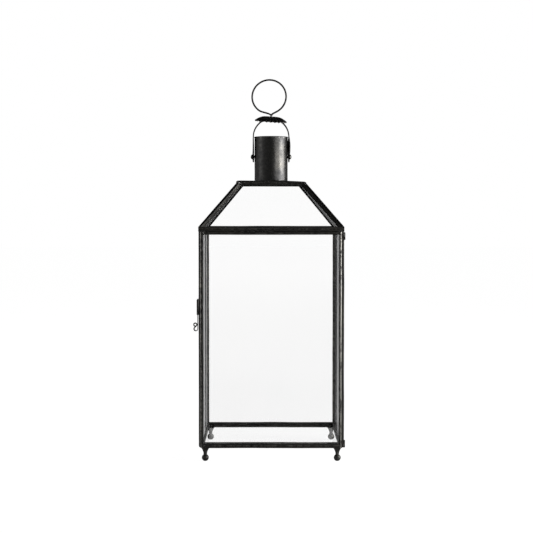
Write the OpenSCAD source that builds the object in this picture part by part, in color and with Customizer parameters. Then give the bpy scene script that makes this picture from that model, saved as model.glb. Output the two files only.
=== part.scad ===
// Candle lantern: a square glass body on ball feet with a hinged glass front, a glass roof,
// a chimney, and a folding bail that carries a heat shield and a finger ring.
// Origin at the centre of the footprint on the ground, +Z up, the door faces -Y.

/* [Body] */
// Outer width and depth of the body
body_w = 170; // [150:1:190]
// Height of the underside of the frame above the ground
foot_h = 15.4; // [15:0.1:20]
// Height of the top of the walls
wall_top = 269.3; // [200:0.1:320]
// Width of a corner post, and depth of the rails between posts
post_w = 5.5; // [5.2:0.1:6.5]
// Height of a base rail
base_rail_h = 6.2; // [4.8:0.1:7]
// Height of a top rail
top_rail_h = 3.7; // [3.5:0.1:6]
// Thickness of the glass
glass_t = 2; // [1.6:0.1:2.1]
// Distance from the centre of the body to each foot, along X and Y
foot_at = 77.5; // [77:0.5:80]

/* [Door] */
// Thickness of the door frame
door_t = 5; // [4.5:0.1:5.5]
// Gap between the door and the frame behind it
door_gap = 0.5; // [0.4:0.1:1]
// Width of a door stile
stile_w = 4.5; // [4.4:0.1:6]

/* [Roof] */
// Height of an eave rail
eave_rail_h = 5.6; // [5:0.1:6]
// Half width of the crown frame
crown_half = 41.7; // [38:0.1:46]
// Height of the top of the crown frame
crown_top = 329; // [315:0.1:350]
// Height of a crown rail
crown_rail_h = 4.6; // [4:0.1:6]
// Depth of a crown rail
crown_rail_d = 5; // [4.5:0.1:5.5]
// Width and depth of a hip bar
hip_w = 5.4; // [5.2:0.1:6.4]

/* [Chimney] */
// Outer radius of the chimney
chimney_r = 20.25; // [18:0.25:20.25]
// Height of the top of the chimney
chimney_top = 384; // [376:0.1:386]
// Thickness of the sheet of the chimney
sheet_t = 0.7; // [0.5:0.1:1]

/* [Bail] */
// Height of the bail pivots
pivot_z = 359.6; // [352:0.1:362]
// Inner half width of the bail
bail_in = 21.1; // [21.1:0.1:22]
// Thickness of the bail strip
bail_t = 1.2; // [1:0.1:1.4]
// Width of the bail strip
bail_w = 12; // [8:0.5:12]
// Height of the centre of the bail arch
arch_z = 384.3; // [382:0.1:387]
// Radius of the heat shield
shield_r = 19.75; // [18:0.25:22]
// Number of flutes around the heat shield
flutes = 24; // [18:1:30]
// Radius of the centre line of the finger ring
ring_r = 21; // [19:0.1:24]

/* [Hidden] */
$fn = 64;
metal = [0.16, 0.16, 0.15];
metal_light = [0.3, 0.3, 0.29];
glass = [0.8, 0.88, 0.88, 0.3];

half = body_w / 2;
frame_front = -half + door_t + door_gap;
inner_half = half - post_w;
side_front = frame_front + post_w;
side_len = inner_half - side_front;
side_mid = (inner_half + side_front) / 2;
wall_h = wall_top - foot_h;

// Folded bars: bevelled outer edges and a shallow valley along the middle of the outer face
edge_bevel = 0.7;
valley_half = 0.8;
valley_deep = 0.6;

// Glass: how far a pane goes into its channel, and the play around it
bite = 1.4;
base_bite = 1.2;
play = 0.1;
base_pane_z = foot_h + 0.7;

// Door
door_left = -half + 1.1;
door_right = half;
door_low = foot_h + 0.6;
door_high = wall_top - 0.5;
door_rail_h = base_rail_h - 0.7;
door_top_h = top_rail_h - 0.4;
door_front = -half;

// Hinges on the right edge, with the axis in the gap behind the door
hinge_x = half + 0.2;
hinge_y = frame_front - door_gap / 2;
knuckle_r = 1.3;
knuckle_room = 0.35;
knuckle_len = 4;
knuckle_gap = 0.2;
leaf_t = 0.6;
leaf_len = 4.4;
pin_r = 0.6;
pin_press = 0.02;
pin_run = 0.06;
hinge_low_z = foot_h + 1.2;
hinge_high_z = wall_top - 9.6;

// Roof: the mid planes of the panes run from the middle of the eave rails to the crown rails
eave_top = wall_top + eave_rail_h;
eave_mid = half - 3.7;
crown_low = crown_top - crown_rail_h;
crown_mid = crown_half - 2.5;
roof_angle = atan2(crown_low - eave_top, eave_mid - crown_mid);
hip_lean = atan2(sqrt(2) * (eave_mid - crown_mid), crown_low - eave_top);
roof_run = (crown_low - eave_top) / sin(roof_angle);
hip_run = (crown_top - eave_top) / cos(hip_lean);
pane_corner = 2;
plate_t = 0.8;
plate_half = crown_half - 0.9;

// Bail, heat shield and finger ring
arch_r = bail_in + bail_t;
arch_top = arch_z + arch_r;
bail_low = pivot_z - 6.5;
rivet_r = 1.6;
head_r = 3;
ring_wire_r = 1;
ring_z = arch_top + 27.2;
neck_z = arch_top + 4.9;
hub_z = arch_top + 1.1;
shield_t = 0.7;
shield_tilt = 4;
crown_rise = 2.2;
hump_r = 8;
rim_drop = 6.2;
flute_deep = 0.9;

// Latch: a wire that turns in a rolled barrel at the left edge, in front of the door
latch_x = -half - 0.6;
latch_y = -half - 1.3;
latch_wire_r = 0.5;
barrel_low = 172.3;
barrel_high = 189.9;
curl_z = 156;
curl_low_r = 2.2;
curl_high_r = 1.8;
curl_out = 2.9;
curl_angle = 45;

// Outline of a bar in depth and height, with the outer face at depth 0
function bar_outline(h, d) = [
    [0, edge_bevel], [0, h / 2 - valley_half], [valley_deep, h / 2], [0, h / 2 + valley_half],
    [0, h - edge_bevel], [edge_bevel, h], [d, h], [d, 0], [edge_bevel, 0]
];

// A bar along X, centred, with its outer face at Y 0 and its underside at Z 0
module bar(len, h, d) {
    translate([-len / 2, 0, 0])
        rotate([90, 0, 90])
            linear_extrude(len) polygon(bar_outline(h, d));
}

// A bar that stands up, with its outer face at Y 0 and centred on X
module upright(len, w, d) {
    translate([w / 2, 0, 0])
        rotate([0, -90, 0])
            translate([len / 2, 0, 0]) bar(len, w, d);
}

// The children, drawn for the front, on one of the four equal sides
module on_side(side) {
    turn = side == "front" ? 0 : side == "right" ? 90 : side == "back" ? 180 : 270;
    rotate([0, 0, turn]) children();
}

// The children, drawn at the back right, moved to another corner
module on_corner(sx, sy) {
    mirror([sx < 0 ? 1 : 0, 0, 0])
        mirror([0, sy < 0 ? 1 : 0, 0]) children();
}

// A rail between the posts of one wall
module wall_rail(side, z, h) {
    if (side == "front")
        translate([0, frame_front, z]) bar(2 * inner_half, h, post_w);
    if (side == "back")
        mirror([0, 1, 0]) translate([0, -half, z]) bar(2 * inner_half, h, post_w);
    if (side == "right")
        rotate([0, 0, 90]) translate([side_mid, -half, z]) bar(side_len, h, post_w);
    if (side == "left")
        mirror([1, 0, 0]) wall_rail("right", z, h);
}

// The space of a fixed wall pane, grown by a play on every side
module wall_glass(side, grow) {
    low = foot_h + base_rail_h - bite - grow;
    high = wall_top - top_rail_h + bite + grow;
    thick = glass_t + 2 * grow;
    if (side == "back")
        translate([-inner_half - bite - grow, half - post_w / 2 - thick / 2, low])
            cube([2 * (inner_half + bite + grow), thick, high - low]);
    if (side == "right")
        translate([half - post_w / 2 - thick / 2, side_front - bite - grow, low])
            cube([thick, side_len + 2 * (bite + grow), high - low]);
    if (side == "left")
        mirror([1, 0, 0]) wall_glass("right", grow);
}

module base_glass(grow) {
    edge = base_bite + grow;
    translate([-inner_half - edge, side_front - edge, base_pane_z - grow])
        cube([2 * (inner_half + edge), side_len + 2 * edge, glass_t + 2 * grow]);
}

// The space of one roof pane on the front side, grown by a play
module roof_glass(grow) {
    low = -bite - 0.2 - grow;
    high = roof_run + bite + 0.4 + grow;
    low_half = eave_mid - low * cos(roof_angle) - pane_corner + grow;
    high_half = eave_mid - high * cos(roof_angle) - pane_corner + grow;
    translate([0, -eave_mid, eave_top])
        rotate([roof_angle, 0, 0])
            translate([0, 0, -glass_t / 2 - grow])
                linear_extrude(glass_t + 2 * grow)
                    polygon([[-low_half, low], [low_half, low], [high_half, high], [-high_half, high]]);
}

// Cuts the channels for the fixed panes and the base pane into its children
module with_channels() {
    difference() {
        children();
        for (side = ["left", "right", "back"]) wall_glass(side, play);
        base_glass(play);
    }
}

module foot(sx, sy) {
    ball_r = 4.1;
    ball_z = 3.9;
    neck_r = 2.05;
    neck_at = 8.6;
    flare_r = 4.8;
    flare_h = foot_h - neck_at;
    flare = [for (i = [0:6]) [neck_r + (flare_r - neck_r) * pow(i / 6, 1.8), neck_at + flare_h * i / 6]];
    color(metal)
        on_corner(sx, sy) translate([foot_at, foot_at, 0]) {
            difference() {
                translate([0, 0, ball_z]) sphere(ball_r);
                translate([0, 0, -ball_r]) cube(2 * ball_r, center = true);
            }
            rotate_extrude()
                polygon(concat([[0, ball_z], [neck_r, ball_z]], flare, [[0, foot_h]]));
        }
}

module base_rail(side) {
    color(metal) with_channels() wall_rail(side, foot_h, base_rail_h);
}

module base_pane() {
    color(glass) base_glass(0);
}

module top_rail(side) {
    color(metal) with_channels() wall_rail(side, wall_top - top_rail_h, top_rail_h);
}

// A corner post with its outer corner at the origin of the outline
module corner_post(sx, sy) {
    mid = -post_w / 2;
    outline = [
        [-post_w, -post_w], [0, -post_w], [0, mid - valley_half], [-valley_deep, mid],
        [0, mid + valley_half], [0, -edge_bevel], [-edge_bevel, 0], [mid + valley_half, 0],
        [mid, -valley_deep], [mid - valley_half, 0], [-post_w, 0]
    ];
    outer_y = sy > 0 ? half : -frame_front;
    color(metal)
        difference() {
            with_channels()
                on_corner(sx, sy)
                    translate([half, outer_y, foot_h]) linear_extrude(wall_h) polygon(outline);
            if (sx > 0 && sy < 0) knuckle_rooms();
        }
}

module wall_pane(side) {
    color(glass) wall_glass(side, 0);
}

// Eave rails: the front and back ones run the full width, the side ones fit between them
module eave_rail(side) {
    len = (side == "front" || side == "back") ? body_w : body_w - 2 * post_w;
    color(metal)
        on_side(side)
            difference() {
                translate([0, -half, wall_top]) bar(len, eave_rail_h, post_w);
                for (turn = [0:90:270]) rotate([0, 0, turn]) roof_glass(play);
            }
}

// The shape of one hip bar before the roof panes are cut out of it
module hip_shape() {
    r = hip_w / 2;
    cap = 1.3;
    outline = [
        [-r, -r], [r - cap, -r], [r, -r + cap], [r, -valley_half], [r - valley_deep, 0],
        [r, valley_half], [r, r - cap], [r - cap, r], [-r, r]
    ];
    over = 12;
    intersection() {
        translate([eave_mid, eave_mid, eave_top])
            rotate([0, 0, 45])
                rotate([0, -hip_lean, 0])
                    translate([0, 0, -over]) linear_extrude(hip_run + 2 * over) polygon(outline);
        translate([0, 0, eave_top]) cube([half, half, crown_top - eave_top]);
    }
}

module hip(sx, sy) {
    color(metal)
        difference() {
            on_corner(sx, sy) hip_shape();
            for (turn = [0:90:270]) rotate([0, 0, turn]) roof_glass(play);
        }
}

module roof_pane(side) {
    color(glass) on_side(side) roof_glass(0);
}

module crown_rail(side) {
    long = side == "front" || side == "back";
    len = 2 * crown_half - (long ? 0 : 2 * crown_rail_d);
    color(metal)
        on_side(side)
            difference() {
                translate([0, -crown_half, crown_low]) bar(len, crown_rail_h, crown_rail_d);
                roof_glass(play);
                for (sx = [-1, 1]) on_corner(sx, -1) hip_shape();
            }
}

module crown_plate() {
    hole_play = 0.05;
    color(metal)
        difference() {
            translate([-plate_half, -plate_half, crown_top]) cube([2 * plate_half, 2 * plate_half, plate_t]);
            translate([0, 0, crown_top - 1]) cylinder(r = chimney_r + hole_play, h = plate_t + 2);
        }
}

// A tube with a rolled rim, and a hole on each side for a rivet
module chimney() {
    low = crown_low + 2;
    rim_r = 0.6;
    color(metal)
        difference() {
            rotate_extrude() {
                translate([chimney_r - sheet_t, low]) square([sheet_t, chimney_top - rim_r - low]);
                translate([chimney_r + rim_r - sheet_t, chimney_top - rim_r]) circle(rim_r);
            }
            translate([-2 * chimney_r, 0, pivot_z])
                rotate([0, 90, 0]) cylinder(r = rivet_r + pin_press, h = 4 * chimney_r);
        }
}

// A rivet: an inner head, a shank, a shoulder that spaces the bail, and a domed outer head
module rivet(side) {
    shoulder_r = 2.6;
    inside = chimney_r - sheet_t;
    shoulder_low = chimney_r + 0.1;
    shoulder_high = bail_in - 0.3;
    head_low = bail_in + bail_t + 0.3;
    dome_r = 3.2;
    dome_from = acos(head_r / dome_r);
    dome_at = head_low + 0.2 - dome_r * sin(dome_from);
    dome = [for (i = [0:6]) let (a = dome_from + i * (90 - dome_from) / 6)
        [dome_r * cos(a), dome_at + dome_r * sin(a)]];
    outline = concat([
        [0, inside - 1.1], [2.2, inside - 1.1], [shoulder_r, inside - 0.7], [shoulder_r, inside - 0.2],
        [rivet_r, inside - 0.2], [rivet_r, shoulder_low], [shoulder_r, shoulder_low],
        [shoulder_r, shoulder_high], [rivet_r, shoulder_high], [rivet_r, head_low], [head_r, head_low]
    ], dome);
    color(metal_light)
        mirror([side == "left" ? 1 : 0, 0, 0])
            translate([0, 0, pivot_z]) rotate([0, 90, 0]) rotate_extrude() polygon(outline);
}

// Room for both knuckles of both hinges, cut into the post and the stile beside them
module knuckle_rooms() {
    for (z = [hinge_low_z, hinge_high_z])
        translate([hinge_x, hinge_y, z - 0.9])
            cylinder(r = knuckle_r + knuckle_room, h = 2 * knuckle_len + knuckle_gap + 1.8);
}

// Half of a hinge: a leaf soldered to the side of a bar, and a knuckle around the pin
module hinge_half(z, to_front, bore_r) {
    color(metal_light)
        translate([hinge_x, hinge_y, z])
            difference() {
                union() {
                    cylinder(r = knuckle_r, h = knuckle_len);
                    translate([half - hinge_x, to_front ? -leaf_len : 0, 0])
                        cube([leaf_t, leaf_len, knuckle_len]);
                }
                translate([0, 0, -1]) cylinder(r = bore_r, h = knuckle_len + 2);
            }
}

module hinge_body(z) {
    hinge_half(z, false, pin_r + pin_press);
}

module hinge_door(z) {
    hinge_half(z, true, pin_r + pin_run);
}

// A pin with a head outside the body knuckle
module hinge_pin(z, head_up) {
    head_h = 0.5;
    over = 0.4;
    long = 2 * knuckle_len + knuckle_gap;
    color(metal_light)
        translate([hinge_x, hinge_y, z]) {
            translate([0, 0, head_up ? -over : 0]) cylinder(r = pin_r, h = long + over);
            translate([0, 0, head_up ? long : -head_h]) cylinder(r = 1, h = head_h);
        }
}

// A strip on the left post, rolled into a barrel in front of the door
module latch_barrel() {
    barrel_r = 1.3;
    strip_t = 0.7;
    strip_back = side_front - 1;
    step = 0.8;
    long = barrel_high - barrel_low;
    color(metal_light)
        difference() {
            union() {
                translate([latch_x, latch_y, barrel_low]) cylinder(r = barrel_r, h = long);
                translate([-half - strip_t, latch_y, barrel_low + step])
                    cube([strip_t, strip_back - latch_y, long - 2 * step]);
            }
            translate([latch_x, latch_y, barrel_low - 1])
                cylinder(r = latch_wire_r + pin_run, h = long + 2);
        }
}

module door_glass(grow) {
    low = door_low + door_rail_h - bite - grow;
    high = door_high - door_top_h + bite + grow;
    left = door_left + stile_w - bite - grow;
    right = door_right - stile_w + bite + grow;
    thick = glass_t + 2 * grow;
    translate([left, door_front + door_t / 2 - thick / 2, low])
        cube([right - left, thick, high - low]);
}

module door_stile(side) {
    x = side == "left" ? door_left + stile_w / 2 : door_right - stile_w / 2;
    color(metal)
        difference() {
            translate([x, door_front, door_low]) upright(door_high - door_low, stile_w, door_t);
            door_glass(play);
            if (side == "right") knuckle_rooms();
        }
}

module door_rail(z, h) {
    left = door_left + stile_w;
    right = door_right - stile_w;
    color(metal)
        difference() {
            translate([(left + right) / 2, door_front, z]) bar(right - left, h, door_t);
            door_glass(play);
        }
}

module door_pane() {
    color(glass) door_glass(0);
}

// A flat strip bent into an arch, with round lower ends, pivot holes and a hole for the ring
module bail() {
    end_z = bail_low + bail_w / 2;
    color(metal)
        difference() {
            union() {
                translate([0, 0, arch_z]) rotate([90, 0, 0])
                    rotate_extrude(angle = 180) translate([bail_in, -bail_w / 2]) square([bail_t, bail_w]);
                for (x = [-arch_r, bail_in]) {
                    translate([x, -bail_w / 2, end_z]) cube([bail_t, bail_w, arch_z - end_z]);
                    translate([x, 0, end_z]) rotate([0, 90, 0]) cylinder(r = bail_w / 2, h = bail_t);
                }
            }
            translate([-2 * arch_r, 0, pivot_z])
                rotate([0, 90, 0]) cylinder(r = rivet_r + pin_run, h = 4 * arch_r);
            translate([0, 0, arch_top - 4]) cylinder(r = ring_wire_r + pin_run, h = 8);
        }
}

// Height of the top of the shield above its hub, at a radius and an angle
function shield_rise(r, a) =
    crown_rise * sin(90 * min(r / hump_r, 1))
    - rim_drop * pow(max(r - hump_r, 0) / (shield_r - hump_r), 1.7)
    - flute_deep * pow(r / shield_r, 2) * cos(flutes * a);

// A thin fluted dome with a dimple in the middle, tilted a little on its stem
module heat_shield() {
    steps = 4 * flutes;
    radii = [3, 6, 9, 12, 15, 17.5, shield_r];
    rings = len(radii);
    scallop = 0.35;
    function point(i, k, down) =
        let (
            a = 360 * k / steps,
            edge = i == rings - 1 ? scallop * cos(flutes * a) : 0,
            r = radii[i] - scallop + edge
        )
        [r * cos(a), r * sin(a), shield_rise(radii[i], a) - down];
    top = [for (i = [0:rings - 1], k = [0:steps - 1]) point(i, k, 0)];
    under = [for (i = [0:rings - 1], k = [0:steps - 1]) point(i, k, shield_t)];
    lower = rings * steps;
    hub = 2 * lower;
    caps = [for (k = [0:steps - 1]) let (n = (k + 1) % steps)
        each [[hub, n, k], [hub + 1, lower + k, lower + n]]];
    skins = [for (i = [0:rings - 2], k = [0:steps - 1])
        let (n = (k + 1) % steps, a = i * steps, b = a + steps)
        each [
            [a + k, a + n, b + n], [a + k, b + n, b + k],
            [lower + a + k, lower + b + n, lower + a + n], [lower + a + k, lower + b + k, lower + b + n]
        ]];
    last = (rings - 1) * steps;
    edge = [for (k = [0:steps - 1]) let (n = (k + 1) % steps)
        each [[last + k, last + n, lower + last + n], [last + k, lower + last + n, lower + last + k]]];
    color(metal)
        difference() {
            translate([0, 0, hub_z]) rotate([0, shield_tilt, 0])
                polyhedron(concat(top, under, [[0, 0, 0], [0, 0, -shield_t]]), concat(caps, skins, edge));
            translate([0, 0, hub_z - 3]) cylinder(r = ring_wire_r + 0.3, h = 6);
        }
}

// A wire arc in the XZ plane
module wire_arc(x, z, r, from, to, wire_r) {
    translate([x, 0, z]) rotate([90, 0, 0]) rotate([0, 0, from])
        rotate_extrude(angle = to - from) translate([r, 0]) circle(wire_r);
}

// A straight wire in the XZ plane between two points, with round ends of their own radii
module wire_line(p, q, wire_r, start_r, end_r) {
    run = q - p;
    translate([p[0], 0, p[1]]) {
        rotate([0, atan2(run[0], run[1]), 0]) cylinder(r = wire_r, h = norm(run));
        sphere(start_r);
    }
    translate([q[0], 0, q[1]]) sphere(end_r);
}

// A round wire ring that narrows to a bead and a stem, with a head under the bail
module finger_ring() {
    open = 30;
    knot_r = 1.04 * ring_wire_r;
    bead_r = 1.5;
    foot_x = ring_r * sin(open);
    foot_z = ring_z - ring_r * cos(open);
    head_top = arch_z + bail_in - 0.4;
    head_h = 1.5;
    color(metal) {
        wire_arc(0, ring_z, ring_r, open - 90, 270 - open, ring_wire_r);
        for (s = [-1, 1]) wire_line([s * foot_x, foot_z], [0, neck_z], ring_wire_r, knot_r, bead_r);
        translate([0, 0, head_top - head_h]) cylinder(r = ring_wire_r, h = neck_z - head_top + head_h);
        translate([0, 0, head_top - head_h]) cylinder(r = 2 * ring_wire_r, h = head_h);
    }
}

// The latch wire: a shaft with a head above the barrel, and a double curl below it as a catch
module latch_wire() {
    shaft_top = barrel_high + 0.3;
    dir = [cos(curl_angle), sin(curl_angle)];
    rise = (curl_low_r + curl_high_r - (curl_out - curl_low_r) * dir[0]) / dir[1];
    low = [curl_low_r, curl_z];
    high = [curl_out, curl_z + rise];
    tail = -35;
    knot_r = 1.06 * latch_wire_r;
    color(metal_light)
        translate([latch_x, latch_y, 0]) {
            mirror([1, 0, 0]) {
                wire_arc(low[0], low[1], curl_low_r, 180, 360 + curl_angle, latch_wire_r);
                wire_line(low + curl_low_r * dir, high - curl_high_r * dir, latch_wire_r, knot_r, knot_r);
                wire_arc(high[0], high[1], curl_high_r, tail, 180 + curl_angle, latch_wire_r);
                translate([high[0] + curl_high_r * cos(tail), 0, high[1] + curl_high_r * sin(tail)])
                    sphere(knot_r);
            }
            translate([0, 0, curl_z]) {
                sphere(knot_r);
                cylinder(r = latch_wire_r, h = shaft_top - curl_z);
            }
            translate([0, 0, shaft_top]) cylinder(r1 = 1, r2 = 0.6, h = 0.9);
        }
}

foot(-1, -1);  // foot_front_left
foot(1, -1);  // foot_front_right
foot(-1, 1);  // foot_back_left
foot(1, 1);  // foot_back_right
base_rail("front");  // base_rail_front
base_rail("back");  // base_rail_back
base_rail("left");  // base_rail_left
base_rail("right");  // base_rail_right
base_pane();
corner_post(-1, -1);  // post_front_left
corner_post(1, -1);  // post_front_right
corner_post(-1, 1);  // post_back_left
corner_post(1, 1);  // post_back_right
top_rail("front");  // top_rail_front
top_rail("back");  // top_rail_back
top_rail("left");  // top_rail_left
top_rail("right");  // top_rail_right
wall_pane("left");  // pane_left
wall_pane("right");  // pane_right
wall_pane("back");  // pane_back
eave_rail("front");  // eave_rail_front
eave_rail("back");  // eave_rail_back
eave_rail("left");  // eave_rail_left
eave_rail("right");  // eave_rail_right
hip(-1, -1);  // hip_front_left
hip(1, -1);  // hip_front_right
hip(-1, 1);  // hip_back_left
hip(1, 1);  // hip_back_right
roof_pane("front");  // roof_pane_front
roof_pane("back");  // roof_pane_back
roof_pane("left");  // roof_pane_left
roof_pane("right");  // roof_pane_right
crown_rail("front");  // crown_rail_front
crown_rail("back");  // crown_rail_back
crown_rail("left");  // crown_rail_left
crown_rail("right");  // crown_rail_right
crown_plate();
chimney();
rivet("left");  // rivet_left
rivet("right");  // rivet_right
hinge_body(hinge_low_z);  // hinge_body_bottom
hinge_body(hinge_high_z + knuckle_len + knuckle_gap);  // hinge_body_top
hinge_pin(hinge_low_z, false);  // hinge_pin_bottom
hinge_pin(hinge_high_z, true);  // hinge_pin_top
latch_barrel();
door_stile("left");  // door_stile_left
door_stile("right");  // door_stile_right
door_rail(door_low, door_rail_h);  // door_rail_bottom
door_rail(door_high - door_top_h, door_top_h);  // door_rail_top
door_pane();
hinge_door(hinge_low_z + knuckle_len + knuckle_gap);  // hinge_door_bottom
hinge_door(hinge_high_z);  // hinge_door_top
bail();
heat_shield();
finger_ring();
latch_wire();
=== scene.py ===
"""Candle lantern: detailed hand-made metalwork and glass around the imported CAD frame. Metres, +Z up."""
import math

import bmesh
import bpy
from mathutils import Matrix, Vector, noise


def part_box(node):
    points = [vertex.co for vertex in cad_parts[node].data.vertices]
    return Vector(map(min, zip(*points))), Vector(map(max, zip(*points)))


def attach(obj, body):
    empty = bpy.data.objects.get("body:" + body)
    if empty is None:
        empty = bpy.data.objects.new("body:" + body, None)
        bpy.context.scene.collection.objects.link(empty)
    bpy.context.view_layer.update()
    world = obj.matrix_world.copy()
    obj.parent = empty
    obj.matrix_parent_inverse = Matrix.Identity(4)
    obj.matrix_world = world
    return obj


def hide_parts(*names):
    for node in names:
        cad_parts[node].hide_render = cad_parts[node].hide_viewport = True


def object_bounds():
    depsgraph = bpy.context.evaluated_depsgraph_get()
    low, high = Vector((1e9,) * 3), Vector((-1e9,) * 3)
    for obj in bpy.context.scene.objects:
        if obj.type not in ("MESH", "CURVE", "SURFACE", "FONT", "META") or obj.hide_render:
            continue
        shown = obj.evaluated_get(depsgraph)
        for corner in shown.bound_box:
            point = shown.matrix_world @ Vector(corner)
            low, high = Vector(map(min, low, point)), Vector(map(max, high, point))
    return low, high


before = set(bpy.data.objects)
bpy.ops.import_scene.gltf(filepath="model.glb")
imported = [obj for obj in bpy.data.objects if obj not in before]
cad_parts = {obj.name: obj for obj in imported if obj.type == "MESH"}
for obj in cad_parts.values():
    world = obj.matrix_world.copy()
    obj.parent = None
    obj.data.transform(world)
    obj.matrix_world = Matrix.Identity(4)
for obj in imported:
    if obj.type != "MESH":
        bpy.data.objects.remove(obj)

CAD_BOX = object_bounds()
MM = 0.001
X, Y, Z = Vector((1, 0, 0)), Vector((0, 1, 0)), Vector((0, 0, 1))

# ------------------------------------ camera, world and lights

SENSOR = 36.0
IMAGE_SIDE = 533
FOCAL_PX = 1365.0
CAMERA_AT = Vector((-0.0056, -1.672, 0.2843))
PITCH_DOWN = 2.01


def make_camera():
    data = bpy.data.cameras.new("camera")
    data.sensor_width = SENSOR
    data.lens = SENSOR * FOCAL_PX / IMAGE_SIDE
    data.clip_start = 0.05
    camera = bpy.data.objects.new("camera", data)
    camera.location = CAMERA_AT
    camera.rotation_euler = (math.radians(90 - PITCH_DOWN), 0, 0)
    bpy.context.scene.collection.objects.link(camera)
    bpy.context.scene.camera = camera


def make_world():
    """White to the camera; for light and reflections a dim room with a white backdrop low at the back."""
    world = bpy.data.worlds.new("studio")
    bpy.context.scene.world = world
    world.use_nodes = True
    t = Tree(world.node_tree)
    way = t.axes(t.add("ShaderNodeTexCoord").outputs["Generated"])
    walls = t.mix(t.span(way["X"], -0.2, -0.9, 0.0, 1.0), grey(ROOM_WALLS), grey(ROOM_LEFT))
    walls = t.mix(t.span(way["Z"], 0.25, 0.8, 0.0, 1.0), walls, grey(ROOM_TOP))
    rise = t.span(way["Z"], *BACKDROP_FOOT, 0.0, 1.0)
    fall = t.span(way["Z"], *BACKDROP_HEAD, 1.0, 0.0)
    ahead = t.span(way["Y"], *BACKDROP_EDGE, 0.0, 1.0)
    backdrop = t.math("MULTIPLY", t.math("MULTIPLY", rise, fall), ahead)
    room = t.shader("ShaderNodeBackground", {"Color": t.mix(backdrop, walls, grey(1.0))})
    white = t.shader("ShaderNodeBackground", {"Color": grey(1.0)})
    seen = t.blend(t.add("ShaderNodeLightPath").outputs["Is Camera Ray"], room, white)
    t.link(seen, t.add("ShaderNodeOutputWorld").inputs["Surface"])


# Grey levels of the room that reflections see
ROOM_WALLS = 0.10
ROOM_LEFT = 0.30
ROOM_TOP = 0.03
# Where the backdrop fades in, as parts of a direction: upwards at its foot and head, and backwards
BACKDROP_FOOT = (0.118, 0.126)
BACKDROP_HEAD = (0.30, 0.36)
BACKDROP_EDGE = (0.8, 0.9)


def make_softbox(name, at, size, watts):
    data = bpy.data.lights.new(name, "AREA")
    data.shape = "RECTANGLE"
    data.size, data.size_y = size
    data.energy = watts
    lamp = bpy.data.objects.new(name, data)
    lamp.location = at
    lamp.rotation_euler = (LIGHT_AIM - at).to_track_quat("-Z", "Y").to_euler()
    bpy.context.scene.collection.objects.link(lamp)


LIGHT_AIM = Vector((0, 0, 0.25))


# ------------------------------------ node trees

class Tree:
    """Short names for making and linking shader nodes."""

    def __init__(self, tree):
        self.tree = tree
        tree.nodes.clear()

    def add(self, kind, **values):
        node = self.tree.nodes.new(kind)
        for key, value in values.items():
            setattr(node, key, value)
        return node

    def link(self, output, socket):
        self.tree.links.new(output, socket)

    def put(self, socket, value):
        """Sets a socket to a number or colour, or links it to an output."""
        if isinstance(value, bpy.types.NodeSocket):
            self.link(value, socket)
        else:
            socket.default_value = value

    def noise(self, vector, scale, detail=4.0, roughness=0.55, distortion=0.0):
        node = self.add("ShaderNodeTexNoise")
        self.link(vector, node.inputs["Vector"])
        node.inputs["Scale"].default_value = scale
        node.inputs["Detail"].default_value = detail
        node.inputs["Roughness"].default_value = roughness
        node.inputs["Distortion"].default_value = distortion
        return node.outputs["Fac"]

    def scaled(self, vector, scale):
        node = self.add("ShaderNodeMapping")
        self.link(vector, node.inputs["Vector"])
        node.inputs["Scale"].default_value = scale
        return node.outputs["Vector"]

    def ramp(self, value, stops):
        """stops are (position, colour); positions from -1 to 1 are allowed."""
        low, high = stops[0][0], stops[-1][0]
        node = self.add("ShaderNodeValToRGB")
        self.link(self.span(value, low, high, 0.0, 1.0), node.inputs["Fac"])
        marks = node.color_ramp.elements
        while len(marks) < len(stops):
            marks.new(0.5)
        for mark, (place, colour) in zip(marks, stops):
            mark.position = (place - low) / (high - low)
            mark.color = colour
        return node.outputs["Color"]

    def span(self, value, from_low, from_high, to_low, to_high):
        node = self.add("ShaderNodeMapRange")
        self.link(value, node.inputs["Value"])
        limits = {"From Min": from_low, "From Max": from_high, "To Min": to_low, "To Max": to_high}
        for key, number in limits.items():
            node.inputs[key].default_value = number
        return node.outputs["Result"]

    def math(self, kind, a, b=0.0):
        node = self.add("ShaderNodeMath", operation=kind, use_clamp=True)
        self.put(node.inputs[0], a)
        self.put(node.inputs[1], b)
        return node.outputs[0]

    def mix(self, factor, a, b):
        node = self.add("ShaderNodeMix", data_type="RGBA")
        self.put(node.inputs["Factor"], factor)
        self.put(node.inputs["A"], a)
        self.put(node.inputs["B"], b)
        return node.outputs["Result"]

    def axes(self, vector):
        """The X, Y and Z outputs of a vector."""
        node = self.add("ShaderNodeSeparateXYZ")
        self.link(vector, node.inputs[0])
        return node.outputs

    def shader(self, kind, sockets):
        """A shader node with its sockets set to numbers or colours, or linked."""
        node = self.add(kind)
        for key, value in sockets.items():
            self.put(node.inputs[key], value)
        return node.outputs[0]

    def blend(self, factor, a, b):
        """Mixes two shaders."""
        node = self.add("ShaderNodeMixShader")
        self.put(node.inputs["Fac"], factor)
        self.link(a, node.inputs[1])
        self.link(b, node.inputs[2])
        return node.outputs[0]

    def bumped(self, height, strength, distance):
        node = self.add("ShaderNodeBump")
        node.inputs["Strength"].default_value = strength
        node.inputs["Distance"].default_value = distance
        self.link(height, node.inputs["Height"])
        return node.outputs["Normal"]


def new_material(name):
    material = bpy.data.materials.new(name)
    material.use_nodes = True
    return material, Tree(material.node_tree)


def grey(level, red=0.0, blue=0.0):
    return (level * (1 + red), level, level * (1 + blue), 1)


# ------------------------------------ materials

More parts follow.
